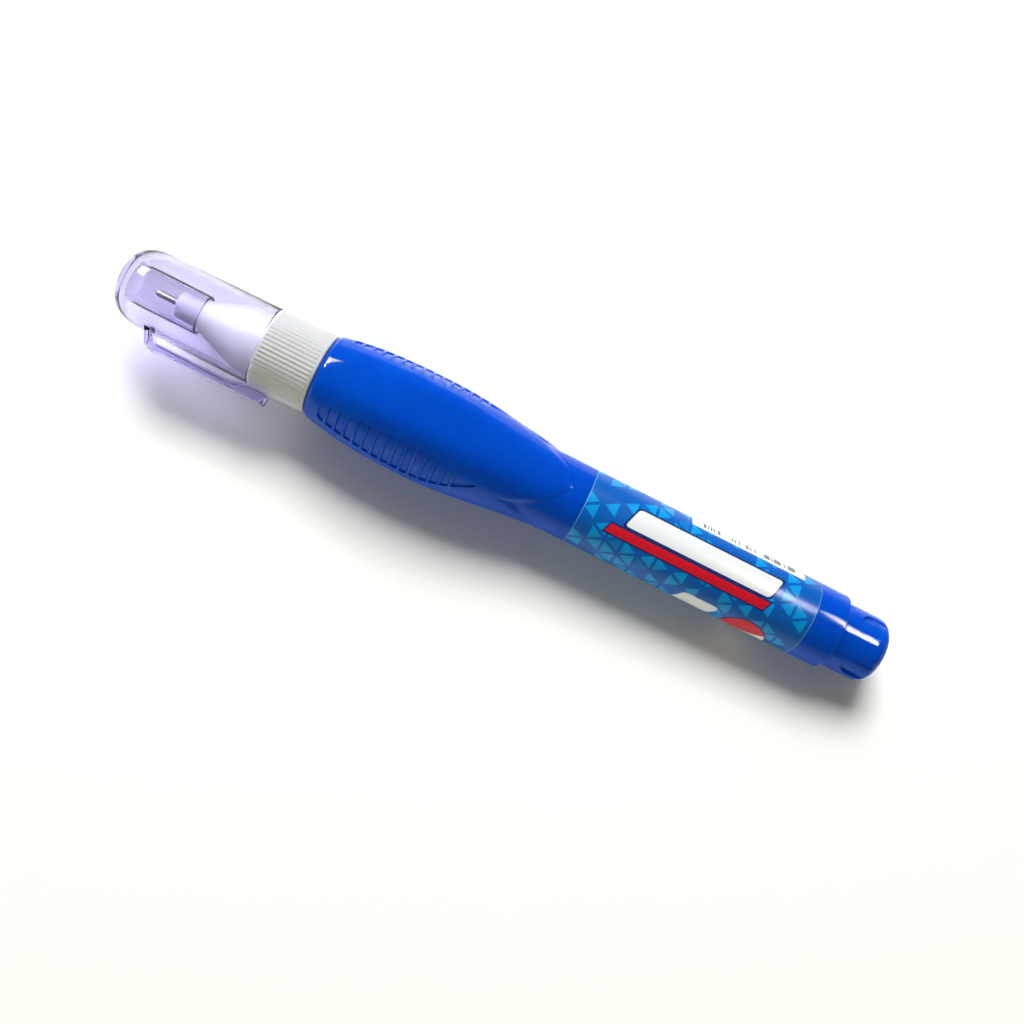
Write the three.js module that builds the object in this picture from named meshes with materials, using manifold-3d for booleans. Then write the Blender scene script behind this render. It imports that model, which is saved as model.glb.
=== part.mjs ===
// Squeeze correction pen: capped valve tip, ribbed nozzle collar, soft barrel with a three-panel grip.
// Millimetres. X runs along the pen from the tail's end face (x = 0) to the tip, +Z is up.
// Angles round the pen are measured from +Z towards +Y.

import * as THREE from 'three';
import { mergeVertices } from 'three/addons/utils/BufferGeometryUtils.js';
import Module from 'manifold-3d';

const wasm = await Module();
wasm.setup();

// Driving dimensions: barrel, from the tail to the mouth
const barrelLength = 102.7;
const tailLength = 8.7; // spigot that the cap is pushed on when the pen is in use
const tailEdgeRadius = 2.6;
const tailCavityChamfer = 1.0; // inside the rounded end
const stepHeight = 0.88; // from the tail spigot up to the handle
const stepEdgeRadius = 0.35;
const gripSwell = 2.5; // from the handle up to the fattest part of the grip
const gripFlat = 0.3; // how much less the radius is over the panels than over the smooth faces
const gripFrontRun = 19.2; // mouth to the fattest part
const gripFrontPower = 2.6; // how square the shoulder at the mouth is
const waistRun = 25; // fattest part to the waist
const mouthLip = 0.18; // barrel mouth over the collar
const mouthEdgeRadius = 0.45;
const barrelWall = 1.0;
const tailWall = 1.2;

// Petals: the three smooth faces run out on the waist as raised tongues with wide, soft edges
const petalCount = 3;
const petalExtra = 1.2; // how much further than the mean a petal's swell reaches
const valleyShort = 3.0; // how much sooner than the mean the swell ends in the valleys
const petalFootInset = 0.3; // foot of the tip behind the waist
const petalFootLength = 7.5; // from there to where the feet of neighbouring petals meet
const petalFootRoundness = 0.6; // 1 for a pointed petal, less for a rounder tip
const petalTipRun = 2.0; // from the foot of the tip up to its crest
const petalCrestLength = 8.9; // from there to where neighbouring crests meet
const petalCrestRoundness = 0.55;

// Grip panels: recessed ladders between the smooth faces
const panelFrontInset = 2.8; // mouth to the first cell
const panelBackInset = 11.4; // fattest part to the panel's pointed end
const panelHalfAngle = 21.7;
const panelTurn = 2.2; // panels turned from midway between the smooth faces
const panelTaperRun = 28; // over this run the panel would narrow to nothing towards the mouth
const panelSkew = 7; // the pointed end leans round the barrel by this angle
const panelFrontRound = 1.1;
const panelPointLength = 3.6; // least length of the pointed last cell
const panelTaperPower = 1.7;
const panelDepth = 0.35;
const cellPitch = 1.715;
const barWidth = 0.45;

// Tail notches
const notchCount = 4;
const notchWidth = 4.1;
const notchLength = 6.0;
const notchDepth = 0.5;
const notchTurn = 62;

// Label sleeve
const labelThickness = 0.12;
const labelClearance = 0.05;
const labelTailMargin = 5.4; // bare barrel between the step and the label
const labelWaistMargin = 2.9; // bare barrel between the label and the waist

// Cap
const capRadius = 6.72; // outside, at the mouth
const capWall = 0.9;
const capDomeWall = 1.3;
const capTaper = 0.3; // less radius where the dome begins
const capDomeLength = 7;
const capDomePower = 3; // how square the dome is
const slideClearance = 0.2; // cap bore to the nozzle spigot and to the tail spigot
const sleeveRadius = 3.4;
const sleeveWall = 0.6;
const sleeveClearance = 0.15;
const tipClearance = 4.15; // needle end to the inside of the dome
const seatGap = 0.3;

// Clip on the cap
const clipAngle = 97.5;
const clipWidth = 4.5;
const clipGap = 0.95; // clear height under the clip
const clipThickness = 1.1;
const clipOverhang = 4.3; // free end past the cap's mouth
const clipRootInset = 7.3; // dome end to the front of the root web
const clipRootLean = 1.6;
const clipWebThickness = 1.3;
const clipWebLean = 0.9; // rear face of the web, which leans less than its front
const clipNubLength = 6.4;
const clipNubRamp = 2.9;
const clipNubClearance = 0.3; // nub to the collar
const clipTipRadius = 1.1;

// Nozzle with its ribbed collar
const collarLip = 0.1; // collar over the cap
const collarLength = 9.7;
const collarBand = 0.3; // plain edge beside the barrel
const collarChamfer = 0.3;
const ribCount = 58;
const ribDepth = 0.14;
const spigotLength = 3.2;
const shoulderRun = 1.6;
const bellLength = 7.9;
const holderRadius = 2.35;
const holderEdgeRadius = 1.0;
const holderLength = 4.45;
const noseStep = 0.5; // rounded step from the bell to the tip holder
const plugInset = 0.95; // collar radius to plug radius
const plugLength = 8.0;
const plugWall = 1.0;
const plugBeadHeight = 0.12;
const hollowInset = 1.1; // collar front to where the hollow narrows to the hub
const plugBeadWidth = 0.8;
const hubLength = 1.6; // seat of the spring retainer
const hubRadius = 1.8;

// Valve: tip, needle, spring, retainer
const tipRadius = 0.6;
const tipExposed = 3.9;
const tipHeld = 3.0; // length held in the tip holder
const tipBoreRadius = 0.32;
const tipNoseRadius = 0.45;
const tipFlangeRadius = 1.05;
const tipFlangeLength = 0.6;
const fitClearance = 0.05; // between pressed and sliding valve pieces
const needleRadius = 0.25;
const needleReach = 0.4; // needle end past the tip
const needleFlangeRadius = 0.95;
const needleFlangeLength = 0.6;
const stemRadius = 0.4;
const stemPast = 1.1; // stem behind the retainer
const needleStop = 0.1;
const springWireRadius = 0.1;
const springRadius = 0.7;
const springTurns = 10;
const springChamberLength = 7.4;
const springChamberRadius = 1.2;
const retainerLength = 1.2;
const retainerBoreClearance = 0.1;
const flowHoleRadius = 0.22;
const flowHoleCount = 4;
const flowHoleOffset = 1.02;

// Mixing ball, lying in the tail
const ballRadius = 3.0;
const ballClearance = 0.15;

// Radii and stations worked out from the driving dimensions
const capBore = capRadius - capWall;
const spigotRadius = capBore - slideClearance;
const tailRadius = capBore - slideClearance;
const bodyRadius = tailRadius + stepHeight;
const gripRadius = bodyRadius + gripSwell;
const collarRadius = capRadius + collarLip;
const mouthRadius = collarRadius + mouthLip;
const plugRadius = collarRadius - plugInset;
const barrelBore = plugRadius + plugBeadHeight + fitClearance;
const seatRadius = bodyRadius - labelThickness - labelClearance;

const fattestX = barrelLength - gripFrontRun;
const waistX = fattestX - waistRun;
const petalFootX = waistX - petalFootInset;
const petalCrestX = petalFootX + petalTipRun;
const labelStartX = tailLength + labelTailMargin;
const labelEndX = waistX - labelWaistMargin;
const collarBackX = barrelLength + seatGap;
const collarFrontX = collarBackX + collarLength;
const capMouthX = collarFrontX + seatGap;
const bellStartX = collarFrontX + spigotLength;
const noseX = bellStartX + bellLength;
const holderEndX = noseX + holderLength;
const tipEndX = holderEndX + tipExposed;
const needleEndX = tipEndX + needleReach;
const capEndX = needleEndX + tipClearance + capDomeWall;
const plugBackX = collarBackX - plugLength;
const tipLedgeX = holderEndX - tipHeld;
const tipBackX = tipLedgeX - fitClearance - tipFlangeLength;
const needleFlangeX = tipBackX - needleStop;
const retainerFrontX = tipLedgeX - tipFlangeLength - springChamberLength;
const noseRadius = sleeveRadius - sleeveWall - sleeveClearance;

// Facets round each kind of piece
const barrelFacets = 48;
const cavityFacets = 32;
const nozzleFacets = 36;
const capFacets = 48;
const valveFacets = 16;

const finishes = {
  barrelBlue: { color: 0x0a4fd0, roughness: 0.35, metalness: 0 },
  labelFilm: { color: 0x0a86cf, roughness: 0.3, metalness: 0 },
  nozzleWhite: { color: 0xf1f1ee, roughness: 0.45, metalness: 0 },
  capViolet: { color: 0xb9aee6, roughness: 0.08, metalness: 0, transparent: true, opacity: 0.4 },
  steel: { color: 0xb8bbc0, roughness: 0.25, metalness: 1 },
  springSteel: { color: 0xc9ccd1, roughness: 0.3, metalness: 1 },
  retainerWhite: { color: 0xe4e4e0, roughness: 0.5, metalness: 0 },
};

const pen = new THREE.Group();

function addPiece(name, geometry, finish) {
  geometry.computeVertexNormals();
  const mesh = new THREE.Mesh(geometry, new THREE.MeshStandardMaterial(finishes[finish]));
  mesh.name = name;
  pen.add(mesh);
}

// Position-only copy with shared corners merged and the slivers at a lathe's poles left out
function welded(geometry) {
  const bare = geometry.clone();
  bare.deleteAttribute('normal');
  bare.deleteAttribute('uv');
  const merged = mergeVertices(bare, 1e-5);
  const corners = merged.index.array;
  const kept = [];
  for (let i = 0; i < corners.length; i += 3) {
    const [a, b, c] = corners.slice(i, i + 3);
    if (a !== b && b !== c && c !== a) kept.push(a, b, c);
  }
  merged.setIndex(kept);
  return merged;
}

function solidOf(geometry) {
  const bare = welded(geometry);
  return new wasm.Manifold(new wasm.Mesh({
    numProp: 3,
    vertProperties: Float32Array.from(bare.attributes.position.array),
    triVerts: Uint32Array.from(bare.index.array),
  }));
}

function geometryOf(solid) {
  const mesh = solid.getMesh();
  const geometry = new THREE.BufferGeometry();
  geometry.setAttribute('position', new THREE.BufferAttribute(Float32Array.from(mesh.vertProperties), 3));
  geometry.setIndex(Array.from(mesh.triVerts));
  return geometry;
}

// A profile drawn as (x, radius) and turned about the X axis, with a facet's flat on top
function turned(path, facets) {
  const outline = path.getPoints(3);
  if (!outline[0].equals(outline.at(-1)) && outline[0].y !== 0) outline.push(outline[0].clone());
  if (THREE.ShapeUtils.area(outline) > 0) outline.reverse();
  const points = outline.map((p) => new THREE.Vector2(p.y, p.x));
  return new THREE.LatheGeometry(points, facets, Math.PI / facets).rotateZ(-Math.PI / 2);
}

// A closed skin round the X axis: one ring of corners per station, with flat ends. A facet's flat is on top.
function skin(stations, facets, radiusAt) {
  const positions = [];
  const faces = [];
  for (const x of stations) {
    for (let j = 0; j < facets; j++) {
      const angle = (360 * (j + 0.5)) / facets;
      positions.push(...placed(x, angle, radiusAt(x, angle)));
    }
  }
  for (let i = 0; i + 1 < stations.length; i++) {
    for (let j = 0; j < facets; j++) {
      const a = i * facets + j;
      const b = i * facets + ((j + 1) % facets);
      faces.push(a, a + facets, b, b, a + facets, b + facets);
    }
  }
  const back = positions.push(stations[0], 0, 0) / 3 - 1;
  const front = positions.push(stations.at(-1), 0, 0) / 3 - 1;
  const last = (stations.length - 1) * facets;
  for (let j = 0; j < facets; j++) {
    const k = (j + 1) % facets;
    faces.push(back, j, k, front, last + k, last + j);
  }
  return indexed(positions, faces);
}

// A block bent round the X axis, between two angles and two radii that may change along x
function bentBlock(stations, steps, anglesAt, innerAt, outerAt) {
  const positions = [];
  const faces = [];
  const across = steps + 1;
  for (const x of stations) {
    const [from, to] = anglesAt(x);
    for (const radiusAt of [innerAt, outerAt]) {
      for (let j = 0; j < across; j++) {
        const angle = from + ((to - from) * j) / steps;
        positions.push(...placed(x, angle, radiusAt(x, angle)));
      }
    }
  }
  const corner = (i, layer, j) => (i * 2 + layer) * across + j;
  const quad = (a, b, c, d) => faces.push(a, c, b, a, d, c);
  const end = stations.length - 1;
  for (let i = 0; i < end; i++) {
    for (let j = 0; j < steps; j++) {
      quad(corner(i, 1, j), corner(i, 1, j + 1), corner(i + 1, 1, j + 1), corner(i + 1, 1, j));
      quad(corner(i, 0, j), corner(i + 1, 0, j), corner(i + 1, 0, j + 1), corner(i, 0, j + 1));
    }
    quad(corner(i, 0, 0), corner(i, 1, 0), corner(i + 1, 1, 0), corner(i + 1, 0, 0));
    quad(corner(i, 0, steps), corner(i + 1, 0, steps), corner(i + 1, 1, steps), corner(i, 1, steps));
  }
  for (let j = 0; j < steps; j++) {
    quad(corner(0, 0, j), corner(0, 0, j + 1), corner(0, 1, j + 1), corner(0, 1, j));
    quad(corner(end, 0, j), corner(end, 1, j), corner(end, 1, j + 1), corner(end, 0, j + 1));
  }
  return indexed(positions, faces);
}

function placed(x, angle, radius) {
  const turn = THREE.MathUtils.degToRad(angle);
  return [x, radius * Math.sin(turn), radius * Math.cos(turn)];
}

function indexed(positions, faces) {
  const geometry = new THREE.BufferGeometry();
  geometry.setAttribute('position', new THREE.Float32BufferAttribute(positions, 3));
  geometry.setIndex(faces);
  return geometry;
}

function spread(from, to, steps) {
  return Array.from({ length: steps + 1 }, (_, i) => from + ((to - from) * i) / steps);
}

// Quarter round: how far the surface falls back at a distance from the edge
function roundedEdge(distance, radius) {
  if (distance >= radius) return 0;
  return radius - Math.sqrt(radius ** 2 - (radius - distance) ** 2);
}

// Grip profile on the waist side: half a cosine from the fattest part down to the handle
function waistProfile(x, run) {
  const part = Math.min((fattestX - x) / run, 1);
  return gripRadius - (gripSwell * (1 - Math.cos(Math.PI * part))) / 2;
}

function frontProfile(x) {
  const part = (x - fattestX) / gripFrontRun;
  return gripRadius - (gripRadius - mouthRadius) * part ** gripFrontPower;
}

// Angle from the middle of the nearest smooth face, at most half a petal's share
function angleFromPetal(angle) {
  const share = 360 / petalCount;
  const turn = ((angle % share) + share) % share;
  return Math.min(turn, share - turn);
}

// Half the width of a petal's outline, in degrees, at a distance from its tip; negative before the tip
function petalHalfWidth(distance, length, roundness) {
  return ((Math.sign(distance) * 180) / petalCount) * (Math.abs(distance) / length) ** roundness;
}

// From 0 over the middle of a smooth face to 1 over the middle of a panel
function panelShare(angle) {
  return (1 - Math.cos(THREE.MathUtils.degToRad(petalCount * angleFromPetal(angle)))) / 2;
}

// Outside of the barrel. On the waist the petals stand above the valleys that start between them.
function barrelRadius(x, angle) {
  if (x >= fattestX) {
    const profile = frontProfile(x);
    const flat = (gripFlat * (profile - mouthRadius)) / (gripRadius - mouthRadius);
    return profile - flat * panelShare(angle) - roundedEdge(barrelLength - x, mouthEdgeRadius);
  }
  if (x > petalFootX) {
    const petal = waistProfile(x, waistRun + petalExtra);
    const valley = waistProfile(x, waistRun - valleyShort);
    const flat = (gripFlat * (valley - bodyRadius)) / gripSwell;
    const foot = petalHalfWidth(x - petalFootX, petalFootLength, petalFootRoundness);
    const crest = petalHalfWidth(x - petalCrestX, petalCrestLength, petalCrestRoundness);
    const outside = THREE.MathUtils.smoothstep(angleFromPetal(angle), crest, foot);
    return petal - (petal - valley) * outside - flat * panelShare(angle);
  }
  return bodyRadius;
}

function handleRadius(x, angle) {
  if (x > labelStartX && x < labelEndX) return seatRadius;
  if (x > tailLength) return barrelRadius(x, angle) - roundedEdge(x - tailLength, stepEdgeRadius);
  return tailRadius - roundedEdge(x, tailEdgeRadius);
}

function barrelStations() {
  const hair = 0.001; // two stations this far apart make a square step
  const rounded = [0, 0.12, 0.4, 1].map((part) => part * tailEdgeRadius);
  return [
    ...rounded, tailLength, tailLength + hair, tailLength + stepEdgeRadius * 0.3, tailLength + stepEdgeRadius,
    labelStartX, labelStartX + hair, labelEndX - hair, labelEndX,
    ...spread(petalFootX, petalCrestX + petalCrestLength, 8),
    ...spread(petalCrestX + petalCrestLength, fattestX, 6).slice(1),
    ...spread(fattestX, barrelLength - mouthEdgeRadius, 6).slice(1),
    barrelLength - mouthEdgeRadius * 0.3, barrelLength,
  ];
}

function barrelCavity() {
  const tailBore = tailRadius - barrelWall;
  const handleBore = seatRadius - barrelWall + labelThickness;
  const neckBackX = plugBackX - seatGap;
  const swollenX = neckBackX - barrelWall * 2;
  const roundAt = (profile) => handleBore + (profile - bodyRadius) * (1 - gripFlat / gripSwell);
  const path = new THREE.Path();
  path.moveTo(tailWall, 0);
  path.lineTo(tailWall, tailBore - tailCavityChamfer);
  path.lineTo(tailWall + tailCavityChamfer, tailBore);
  path.lineTo(tailLength + barrelWall, tailBore);
  path.lineTo(tailLength + barrelWall + stepHeight, handleBore);
  path.lineTo(waistX, handleBore);
  for (const x of spread(waistX, fattestX, 8).slice(1)) {
    path.lineTo(x, roundAt(waistProfile(x, waistRun - valleyShort)));
  }
  path.lineTo(swollenX, roundAt(frontProfile(swollenX)));
  path.lineTo(neckBackX, barrelBore);
  path.lineTo(barrelLength + 1, barrelBore);
  path.lineTo(barrelLength + 1, 0);
  return turned(path, cavityFacets);
}

const panelTipX = fattestX - panelBackInset;
const panelFrontX = barrelLength - panelFrontInset;

function panelHalfWidth(x) {
  if (x < fattestX) return panelHalfAngle * (1 - ((fattestX - x) / panelBackInset) ** 2);
  const rounding = roundedEdge(panelFrontX - x, panelFrontRound) / barrelRadius(x, 0);
  const taper = 1 - ((x - fattestX) / panelTaperRun) ** panelTaperPower;
  return panelHalfAngle * taper - THREE.MathUtils.radToDeg(rounding);
}

function panelLean(x) {
  return x < fattestX ? panelSkew * ((fattestX - x) / panelBackInset) ** 2 : 0;
}

// One recessed cell of a ladder panel, its floor following the barrel's surface
function panelCell(fromX, toX, middle) {
  const atAngles = (x) => {
    const half = Math.max(panelHalfWidth(x), 0.5);
    const centre = middle - panelLean(x);
    return [centre - half, centre + half];
  };
  const floor = (x, angle) => barrelRadius(x, angle) - panelDepth;
  const above = (x, angle) => barrelRadius(x, angle) + 1;
  const steps = toX - fromX > cellPitch ? 4 : 1;
  return bentBlock(spread(fromX, toX, steps), 3, atAngles, floor, above);
}

function panelCells(middle) {
  const squareCells = Math.floor((panelFrontX - panelTipX - panelPointLength) / cellPitch);
  const cells = [];
  for (let k = 0; k < squareCells; k++) {
    const toX = panelFrontX - cellPitch * k;
    cells.push(panelCell(toX - cellPitch + barWidth, toX, middle));
  }
  cells.push(panelCell(panelTipX, panelFrontX - cellPitch * squareCells, middle)); // runs out to the point
  return cells;
}

function tailNotch(angle) {
  const arch = new THREE.Shape();
  const half = notchWidth / 2;
  arch.moveTo(-1, -half);
  arch.lineTo(notchLength - half, -half);
  arch.absarc(notchLength - half, 0, half, -Math.PI / 2, Math.PI / 2, false);
  arch.lineTo(-1, half);
  const extrusion = { depth: notchDepth * 3, bevelEnabled: false, curveSegments: 6 };
  const cutter = new THREE.ExtrudeGeometry(arch, extrusion);
  cutter.translate(0, 0, tailRadius - notchDepth);
  return cutter.rotateX(-THREE.MathUtils.degToRad(angle));
}

function buildBarrel() {
  let solid = solidOf(skin(barrelStations(), barrelFacets, handleRadius)).subtract(solidOf(barrelCavity()));
  for (let k = 0; k < petalCount; k++) {
    const middle = (360 / petalCount) * (k + 0.5) + panelTurn;
    for (const cell of panelCells(middle)) solid = solid.subtract(solidOf(cell));
  }
  for (let k = 0; k < notchCount; k++) {
    solid = solid.subtract(solidOf(tailNotch(notchTurn + (360 / notchCount) * k)));
  }
  return geometryOf(solid);
}

function buildLabel() {
  const path = new THREE.Path();
  const inner = seatRadius + labelClearance;
  path.moveTo(labelStartX + labelClearance, inner);
  path.lineTo(labelEndX - labelClearance, inner);
  path.lineTo(labelEndX - labelClearance, inner + labelThickness);
  path.lineTo(labelStartX + labelClearance, inner + labelThickness);
  path.closePath();
  return turned(path, barrelFacets);
}

function nozzleProfile() {
  const path = new THREE.Path();
  const hollow = plugRadius - plugWall;
  const hubBackX = retainerFrontX - hubLength;
  const beadX = plugBackX + plugBeadWidth * 2;
  // outside, from the tip holder back to the plug
  path.moveTo(holderEndX, tipRadius + fitClearance);
  path.lineTo(holderEndX, holderRadius - holderEdgeRadius);
  path.quadraticCurveTo(holderEndX, holderRadius, holderEndX - holderEdgeRadius, holderRadius);
  path.lineTo(noseX + noseStep, holderRadius);
  path.quadraticCurveTo(noseX + noseStep, noseRadius, noseX, noseRadius);
  path.lineTo(bellStartX + shoulderRun, spigotRadius - bellFall(shoulderRun));
  path.quadraticCurveTo(bellStartX, spigotRadius, bellStartX - shoulderRun, spigotRadius);
  path.lineTo(collarFrontX, spigotRadius);
  path.lineTo(collarFrontX, collarRadius - ribDepth - collarChamfer);
  path.lineTo(collarFrontX - collarChamfer, collarRadius - ribDepth);
  path.lineTo(collarBackX + collarBand, collarRadius - ribDepth);
  path.lineTo(collarBackX + collarBand, collarRadius);
  path.lineTo(collarBackX, collarRadius);
  path.lineTo(collarBackX, plugRadius);
  path.lineTo(beadX + plugBeadWidth, plugRadius);
  path.lineTo(beadX + plugBeadWidth / 2, plugRadius + plugBeadHeight);
  path.lineTo(beadX, plugRadius);
  path.lineTo(plugBackX, plugRadius);
  // inside, from the plug forward through the retainer's seat, the spring chamber and the tip's bore
  path.lineTo(plugBackX, hollow);
  path.lineTo(collarFrontX - hollowInset, hollow);
  path.lineTo(hubBackX, hubRadius);
  path.lineTo(retainerFrontX, hubRadius);
  path.lineTo(retainerFrontX, springChamberRadius);
  path.lineTo(tipLedgeX, springChamberRadius);
  path.lineTo(tipLedgeX, tipRadius + fitClearance);
  path.closePath();
  return path;
}

// Fall of the bell's straight cone below the spigot at a distance from its start
function bellFall(distance) {
  return ((spigotRadius - noseRadius) * distance) / bellLength;
}

function buildNozzle() {
  const ribs = new THREE.Shape();
  const bed = collarRadius - ribDepth * 2;
  for (let k = 0; k < ribCount * 2; k++) {
    const turn = (Math.PI * k) / ribCount;
    const radius = k % 2 ? collarRadius - ribDepth : collarRadius;
    const point = [radius * Math.cos(turn), radius * Math.sin(turn)];
    if (k === 0) ribs.moveTo(...point);
    else ribs.lineTo(...point);
  }
  ribs.closePath();
  const hole = new THREE.Path();
  hole.absarc(0, 0, bed, 0, Math.PI * 2, true);
  ribs.holes.push(hole);
  const ribLength = collarLength - collarBand - collarChamfer;
  const band = new THREE.ExtrudeGeometry(ribs, { depth: ribLength, bevelEnabled: false, curveSegments: 20 });
  band.rotateY(Math.PI / 2).translate(collarBackX + collarBand, 0, 0);
  return geometryOf(solidOf(turned(nozzleProfile(), nozzleFacets)).add(solidOf(band)));
}

function buildTip() {
  const path = new THREE.Path();
  path.moveTo(tipBackX, tipBoreRadius);
  path.lineTo(tipBackX, tipFlangeRadius);
  path.lineTo(tipBackX + tipFlangeLength, tipFlangeRadius);
  path.lineTo(tipBackX + tipFlangeLength, tipRadius);
  path.lineTo(tipEndX - tipRadius, tipRadius);
  path.lineTo(tipEndX, tipNoseRadius);
  path.lineTo(tipEndX, tipBoreRadius);
  path.closePath();
  return turned(path, valveFacets);
}

function buildNeedle() {
  const path = new THREE.Path();
  const flangeBackX = needleFlangeX - needleFlangeLength;
  path.moveTo(retainerFrontX - retainerLength - stemPast, 0);
  path.lineTo(retainerFrontX - retainerLength - stemPast, stemRadius);
  path.lineTo(flangeBackX, stemRadius);
  path.lineTo(flangeBackX, needleFlangeRadius);
  path.lineTo(needleFlangeX, needleFlangeRadius);
  path.lineTo(needleFlangeX, needleRadius);
  path.lineTo(needleEndX - needleRadius, needleRadius);
  path.quadraticCurveTo(needleEndX, needleRadius, needleEndX, 0);
  return turned(path, valveFacets);
}

class Coil extends THREE.Curve {
  constructor(fromX, toX, radius, turns) {
    super();
    Object.assign(this, { fromX, toX, radius, turns });
  }

  getPoint(part, target = new THREE.Vector3()) {
    const turn = Math.PI * 2 * this.turns * part;
    const x = this.fromX + (this.toX - this.fromX) * part;
    return target.set(x, this.radius * Math.sin(turn), this.radius * Math.cos(turn));
  }
}

function buildSpring() {
  const fromX = retainerFrontX + springWireRadius + fitClearance;
  const toX = needleFlangeX - needleFlangeLength - springWireRadius - fitClearance;
  const pitch = (toX - fromX) / springTurns;
  console.log(`valve spring: ${(pitch - springWireRadius * 2).toFixed(2)} mm clear between turns`);
  const wire = new THREE.Shape();
  wire.absarc(0, 0, springWireRadius, 0, Math.PI * 2, false);
  return new THREE.ExtrudeGeometry(wire, {
    extrudePath: new Coil(fromX, toX, springRadius, springTurns), steps: springTurns * 8, curveSegments: 3,
  });
}

function buildRetainer() {
  const disc = new THREE.Shape();
  disc.absarc(0, 0, hubRadius - fitClearance, 0, Math.PI * 2, false);
  const guide = new THREE.Path();
  guide.absarc(0, 0, stemRadius + retainerBoreClearance, 0, Math.PI * 2, true);
  disc.holes.push(guide);
  for (let k = 0; k < flowHoleCount; k++) {
    const turn = (Math.PI * 2 * k) / flowHoleCount;
    const hole = new THREE.Path();
    const [y, z] = [flowHoleOffset * Math.cos(turn), flowHoleOffset * Math.sin(turn)];
    hole.absarc(y, z, flowHoleRadius, 0, Math.PI * 2, true);
    disc.holes.push(hole);
  }
  const extrusion = { depth: retainerLength - fitClearance, bevelEnabled: false, curveSegments: 8 };
  const body = new THREE.ExtrudeGeometry(disc, extrusion).rotateY(Math.PI / 2);
  return body.translate(retainerFrontX - retainerLength, 0, 0);
}

function capProfile() {
  const domeX = capEndX - capDomeLength;
  const domeRadius = capRadius - capTaper;
  const innerLength = capDomeLength - capDomeWall;
  const squircle = (part, power) => (1 - part ** power) ** (1 / power);
  const sleeveBore = sleeveRadius - sleeveWall;
  const path = new THREE.Path();
  const domeSteps = [0.25, 0.5, 0.68, 0.82, 0.92, 0.98];
  path.moveTo(capMouthX, capBore);
  path.lineTo(capMouthX, capRadius);
  path.lineTo(domeX, domeRadius);
  for (const part of domeSteps) {
    path.lineTo(domeX + capDomeLength * part, domeRadius * squircle(part, capDomePower));
  }
  path.lineTo(capEndX, 0);
  path.lineTo(capEndX - capDomeWall, 0);
  path.lineTo(capEndX - capDomeWall, sleeveBore);
  path.lineTo(noseX, sleeveBore);
  path.lineTo(noseX, sleeveRadius);
  const innerRadius = domeRadius - capWall;
  const insideTop = domeX + innerLength * 0.9;
  path.lineTo(insideTop, sleeveRadius);
  for (const part of domeSteps.slice(0, 4).reverse()) {
    path.lineTo(domeX + innerLength * part, innerRadius * squircle(part, capDomePower));
  }
  path.lineTo(domeX, innerRadius);
  path.closePath();
  return path;
}

// Side view of the clip: (x, height over the pen's axis)
function clipShape() {
  const seat = Math.max(capRadius, collarRadius);
  const under = seat + clipGap;
  const over = under + clipThickness;
  const rootX = capEndX - clipRootInset;
  const buried = capRadius - capTaper - capWall * 0.6;
  const freeX = capMouthX - clipOverhang;
  const nub = collarRadius + clipNubClearance;
  const shape = new THREE.Shape();
  shape.moveTo(rootX, buried);
  shape.lineTo(rootX - clipRootLean, over);
  shape.lineTo(freeX + clipTipRadius, over);
  shape.quadraticCurveTo(freeX, over, freeX, over - clipTipRadius);
  shape.lineTo(freeX, nub);
  shape.lineTo(freeX + clipNubLength - clipNubRamp, nub);
  shape.lineTo(freeX + clipNubLength, under);
  shape.lineTo(rootX - clipWebLean - clipWebThickness, under);
  shape.lineTo(rootX - clipWebThickness, buried);
  shape.closePath();
  return shape;
}

function buildCap() {
  const extrusion = { depth: clipWidth, bevelEnabled: false, curveSegments: 5 };
  const bar = new THREE.ExtrudeGeometry(clipShape(), extrusion);
  bar.translate(0, 0, -clipWidth / 2).rotateX(Math.PI / 2 - THREE.MathUtils.degToRad(clipAngle));
  return geometryOf(solidOf(turned(capProfile(), capFacets)).add(solidOf(bar)));
}

function buildBall() {
  const tailBore = (tailRadius - barrelWall) * Math.cos(Math.PI / cavityFacets);
  const ball = new THREE.SphereGeometry(ballRadius, 16, 10);
  const x = tailWall + ballRadius + ballClearance;
  return welded(ball.translate(x, 0, ballRadius + ballClearance - tailBore));
}

addPiece('barrel', buildBarrel(), 'barrelBlue');
addPiece('label_sleeve', buildLabel(), 'labelFilm');
addPiece('nozzle', buildNozzle(), 'nozzleWhite');
addPiece('metal_tip', buildTip(), 'steel');
addPiece('valve_needle', buildNeedle(), 'steel');
addPiece('valve_spring', buildSpring(), 'springSteel');
addPiece('spring_retainer', buildRetainer(), 'retainerWhite');
addPiece('mixing_ball', buildBall(), 'steel');
addPiece('cap', buildCap(), 'capViolet');

export default pen;
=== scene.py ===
# Looks of the squeeze correction pen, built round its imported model.
# Sizes in the dictionaries are millimetres and degrees, as in the part's source; meshes are metres.
# X runs from the tail's end face to the tip, and angles run from +Z towards +Y.

import math

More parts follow.
